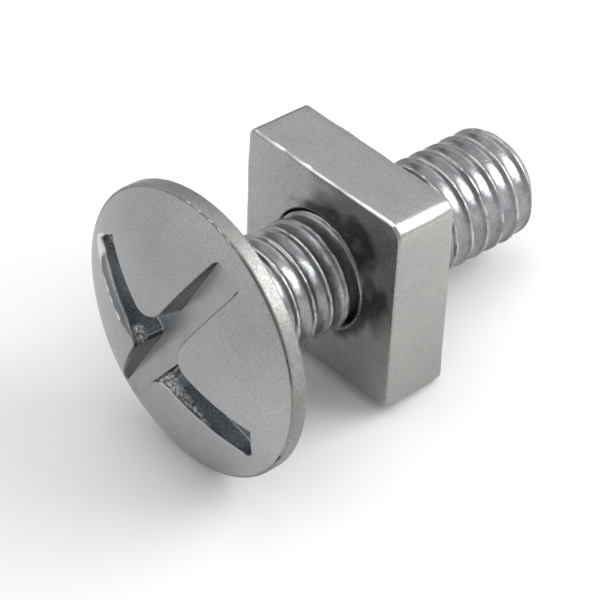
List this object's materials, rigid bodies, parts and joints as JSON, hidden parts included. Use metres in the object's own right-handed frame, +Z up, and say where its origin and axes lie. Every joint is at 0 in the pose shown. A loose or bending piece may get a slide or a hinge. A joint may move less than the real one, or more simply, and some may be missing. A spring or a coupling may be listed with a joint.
{
  "type": "roofing bolt with square nut",
  "caption": "Mushroom head bolt with a punched cross recess, threaded right up to the head, and a thin square nut part of the way along it.",
  "frame": {"origin": "middle of the footprint, on the surface that the bolt lies on", "axes": "+X along the bolt from its head towards its end, +Z up; the bolt's own axis dips 10.8 degrees towards its end"},
  "size_m": [0.0222, 0.0144, 0.0144],
  "materials": {
    "plated_bolt": "bright zinc plate on cold-forged steel, fine satin grain",
    "plated_nut": "bright zinc plate on pressed steel, smooth with soft rolled edges"
  },
  "bodies": {
    "bolt": {"bolt": "plated_bolt"},
    "nut": {"square_nut": "plated_nut"}
  },
  "joints": [
    {"name": "nut_travel", "type": "slide", "parent": "bolt", "child": "nut", "axis": [0.9823, 0, -0.1872], "range_m": [-0.007, 0.008]}
  ]
}
